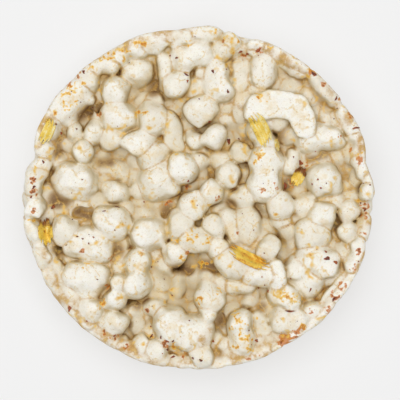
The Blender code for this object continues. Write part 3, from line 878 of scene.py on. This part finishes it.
def makeHull(make, field):
    # flakes of the grain's hull: ribbed skins with torn ends, draped on the lobes
    rng = np.random.default_rng(make["seed"])
    work = bmesh.new()
    values = {name: work.verts.layers.float.new(name) for name in ("strand", "dark", "ripe")}
    for x, y, length, width, turn, darkEnd, ripe in make["flakes"]:
        cos, sin = math.cos(math.radians(turn)), math.sin(math.radians(turn))
        bend = rng.uniform(-0.03, 0.03)
        strands = []
        for offset in np.arange(-0.5 * width, 0.5 * width + 0.01, make["strand"]):
            reach = 0.5 * length * max(1.0 - abs(2.0 * offset / width) ** 3, 0.12) ** 0.35
            low, high = reach * (1.0 - make["fray"] * rng.random(2) ** 2)
            tint, ridge = rng.random(), make["ridge"] * rng.random()
            strand = []
            for u in np.linspace(0.0, 1.0, make["steps"] + 1):
                a = (low + high) * u - low
                b = offset * (1.0 - 0.5 * (a / length) ** 2) + bend * a * a
                px, py = x + a * cos - b * sin, y + a * sin + b * cos
                held = min(1.0, (ringRadius - make["inset"]) / math.hypot(px, py))
                px, py = px * held, py * held
                pz = field.rise(px, py) + make["lift"] + ridge + make["curl"] * (2.0 * u - 1.0) ** 6
                vert = work.verts.new((px * mm, py * mm, pz * mm))
                vert[values["strand"]] = tint
                vert[values["dark"]] = darkEnd * max(0.0, 2.0 * u - 0.9)
                vert[values["ripe"]] = ripe
                strand.append(vert)
            strands.append(strand)
        for first, second in zip(strands, strands[1:]):
            torn = 0.34 if rng.random() < make["split"] else 0.6
            for k in range(make["steps"]):
                if abs(k / make["steps"] - 0.5) < torn:
                    work.faces.new((first[k], first[k + 1], second[k + 1], second[k]))
    piece = pieceOf(work, "hull_flakes")
    shell = piece.modifiers.new("shell", "SOLIDIFY")
    shell.thickness = make["thick"] * mm
    shell.offset = 0.0
    settledMesh(piece)
    piece.data.shade_smooth()
    print("hull flakes:", len(make["flakes"]), "triangles:", 2 * len(piece.data.polygons))
    return piece


branMake = dict(
    seed=5, thick=0.42, loose=70, step=0.4,
    # x, y, length, width, turn of the chips that stand out
    chips=[
        (10.8, 38.5, 1.3, 0.7, 10), (12.6, 38, 1.1, 0.7, 60), (15.4, 38.8, 1.6, 0.8, 45),
        (3.6, 33.3, 1, 0.7, 30), (7.5, 28, 1, 0.6, 60), (2.7, 20.3, 1, 0.8, 100),
        (7.8, 15.2, 1.6, 0.9, 30), (-5.8, 36.8, 1, 0.5, 90), (-3.3, 32.5, 1.3, 0.5, 10),
        (-3, 30.8, 0.8, 0.6, 0), (-30, 33.2, 1.1, 0.7, 40), (-36, 17.3, 1, 0.6, 60),
        (-37.2, 19.6, 0.8, 0.5, 80), (-40.5, 9.8, 1, 0.5, 0), (-43.6, 0.6, 0.8, 0.5, 20),
        (-38.2, -2, 1.4, 0.8, 70), (-21.3, -2, 1.2, 0.4, 10), (-24.6, -3, 1, 0.3, 30),
        (-33.7, -28.5, 1.6, 0.8, -40), (-22, -35.5, 0.9, 0.5, 20), (-8.3, -36.8, 1, 0.6, 0),
        (-6.8, -36.8, 0.9, 0.5, 40), (-8.2, -39.1, 1, 0.6, 80), (-6.8, -41, 1.3, 0.5, 20),
        (0.5, -41.7, 1, 0.6, 0), (-1.6, -41.2, 0.8, 0.5, 60), (3.7, -37, 0.9, 0.5, 90),
        (15, -36.8, 1, 0.7, 80), (18, -23.9, 0.8, 0.6, 0), (33.3, -15.3, 1.6, 1, 20),
        (35.5, -16.3, 1.3, 0.9, 40), (33, -13.6, 0.9, 0.6, 0), (23.6, -29, 2.4, 0.5, 5),
        (29, -23.5, 1.2, 0.4, 30), (-12.4, -35.6, 1.3, 0.4, 40), (-9.9, -35.8, 1.1, 0.4, -40),
        (26.6, 9.6, 1.8, 0.9, 70), (27.6, 7.6, 1.3, 0.8, 20), (-39.6, -5.6, 1.8, 0.7, 60),
        (29.8, 32.6, 1.6, 0.8, -20), (40.8, 18.6, 2, 0.5, -64), (35.6, 26.2, 1.3, 0.5, -40),
        (22.6, 3.6, 1.8, 0.9, 0), (-2.8, 4.8, 0.8, 0.5, 60), (-42.8, 3.2, 1.2, 0.6, 70),
        (-42.6, 5.2, 1, 0.5, 90), (43.4, -2.6, 1.3, 0.5, 80), (35, -26, 1.3, 0.6, 30),
        (29.4, 4, 0.6, 0.5, 0), (30.8, 5.2, 0.6, 0.5, 0), (31.6, 3, 0.7, 0.5, 30),
        (-30.2, -10.2, 0.6, 0.4, 0), (-28.6, -11.4, 0.6, 0.4, 0), (-31.6, -9.6, 0.6, 0.4, 0),
        (-27.4, -9.8, 0.6, 0.4, 0), (11.8, -15.7, 0.8, 0.6, 0),
    ],
)


def makeBran(make, field):
    # small dark chips of bran, half sunk in the skin
    rng = np.random.default_rng(make["seed"])
    work = bmesh.new()
    chips, step = list(make["chips"]), make["step"]
    while len(chips) < len(make["chips"]) + make["loose"]:
        angle, reach = rng.uniform(0.0, 2.0 * math.pi), (ringRadius - 1.5) * math.sqrt(rng.random())
        size = rng.uniform(0.25, 0.55)
        chips.append((reach * math.cos(angle), reach * math.sin(angle), size, size * rng.uniform(0.5, 0.9),
                      rng.uniform(0, 180)))
    for x, y, length, width, turn in chips:
        normal = Vector((field.rise(x - step, y) - field.rise(x + step, y),
                         field.rise(x, y - step) - field.rise(x, y + step), 2.0 * step)).normalized()
        spot = Vector((x, y, field.rise(x, y)))
        lean = normal.to_track_quat("Z", "Y").to_matrix().to_4x4()
        turned = Matrix.Rotation(math.radians(turn), 4, "Z")
        shape = Matrix.Diagonal((0.5 * length, 0.5 * width, 0.5 * make["thick"], 1.0))
        place = Matrix.Scale(mm, 4) @ Matrix.Translation(spot) @ lean @ turned @ shape
        made = bmesh.ops.create_icosphere(work, subdivisions=2, radius=1.0)
        sway = rng.uniform(0.0, 6.3, 3)
        for vert in made["verts"]:
            a, b = math.atan2(vert.co.y, vert.co.x), vert.co.z
            swell = 1.0 + 0.22 * math.sin(3.0 * a + sway[0]) + 0.14 * math.sin(5.0 * a + sway[1] + 2.0 * b)
            b = b + 0.2 * math.sin(2.0 * a + sway[2])
            vert.co = place @ Vector((vert.co.x * swell, vert.co.y * swell, b))
    piece = pieceOf(work, "bran_chips")
    piece.data.shade_smooth()
    print("bran chips:", len(chips), "triangles:", len(piece.data.polygons))
    return piece


grainField.holdFace(hullMake["blur"])
hull = makeHull(hullMake, grainField)
bran = makeBran(branMake, grainField)
for extra in (hull, bran):
    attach(extra, "root")


def hullFinish():
    paint = Paint("dry_hull", tone(250, 236, 176))
    strand, ripe = paint.held("strand"), paint.held("ripe")
    place = paint.place()
    patch = paint.noise(place, 1.8, 3.0)
    streak = paint.noise(place, 0.5, 3.0, 0.6)
    mixed = strand * 0.3 + patch * 0.8 + (streak - 0.5) * 0.5 + ripe * 0.4
    paint.lay(tone(244, 206, 84), paint.step(mixed, 0.34, 0.62))
    paint.lay(tone(226, 156, 52), paint.step(mixed, 0.68, 0.9) * 0.85)
    paint.lay(tone(150, 74, 26), paint.step(streak + (patch - 0.5) * 0.8, 0.62, 0.74) * 0.7)
    dark = paint.step(paint.held("dark") + (patch - 0.5) * 0.5, 0.16, 0.36)
    paint.lay(tone(112, 42, 16), dark * 0.9)
    paint.feed(Base_Color=paint.skin, Roughness=paint.step(streak, 0.3, 0.7, 0.4, 0.6),
               Normal=paint.bump(streak, 0.8, 0.3))
    paint.fix({"Subsurface Weight": 0.15, "Subsurface Radius": (1.0, 0.8, 0.4), "Subsurface Scale": 0.0008})
    return paint


def branFinish():
    paint = Paint("dark_bran", tone(104, 40, 16))
    place = paint.place()
    patch = paint.noise(place, 1.3, 3.0)
    fine = paint.noise(place, 0.3, 2.0)
    paint.lay(tone(160, 82, 36), paint.step(patch, 0.4, 0.62))
    paint.feed(Base_Color=paint.skin, Roughness=paint.step(fine, 0.3, 0.7, 0.4, 0.6),
               Normal=paint.bump(fine, 0.5, 0.08))
    return paint


hullFinish().give(hull)
branFinish().give(bran)
print("flakes and chips coloured")


stageMake = dict(
    lens=150.0, sensor=36.0,
    frameWidth=105.6,     # mm seen across at half the cake's height
    aim=(0.26, -0.13),    # mm from the cake's middle
    floorSize=3.0, floorGlow=0.52,
    boxSize=1.0, boxPlace=(-0.06, 0.12, 0.9), boxPower=7.1,
    fill=0.4,
)


def makeStage(make):
    scene = bpy.context.scene
    scene.view_settings.view_transform = "Standard"
    scene.view_settings.look = "None"
    bpy.ops.mesh.primitive_plane_add(size=make["floorSize"], location=(0.0, 0.0, cakeLow[2] * mm - 0.0002))
    floor = bpy.context.active_object
    floor.name = "pale_floor"
    paint = Paint("pale_floor", tone(160, 160, 160))
    paint.fix({"Base Color": paint.skin, "Roughness": 0.9, "Emission Color": (1.0, 1.0, 1.0, 1.0),
               "Emission Strength": make["floorGlow"]})
    paint.give(floor)
    lamp = bpy.data.lights.new("soft_box", "AREA")
    lamp.shape = "SQUARE"
    lamp.size = make["boxSize"]
    lamp.energy = make["boxPower"]
    box = bpy.data.objects.new("soft_box", lamp)
    box.location = make["boxPlace"]
    box.rotation_euler = (Vector(box.location) * -1.0).to_track_quat("-Z", "Y").to_euler()
    scene.collection.objects.link(box)
    world = bpy.data.worlds.new("studio")
    world.use_nodes = True
    sky = world.node_tree.nodes["Background"].inputs
    sky["Color"].default_value = (1.0, 1.0, 1.0, 1.0)
    sky["Strength"].default_value = make["fill"]
    scene.world = world
    eye = bpy.data.cameras.new("camera")
    eye.lens = make["lens"]
    eye.sensor_width = make["sensor"]
    eye.clip_start = 0.01
    camera = bpy.data.objects.new("camera", eye)
    distance = make["frameWidth"] * mm * eye.lens / eye.sensor_width
    camera.location = (make["aim"][0] * mm, make["aim"][1] * mm, 0.5 * thickness * mm + distance)
    scene.collection.objects.link(camera)
    scene.camera = camera


makeStage(stageMake)
print("stage set")
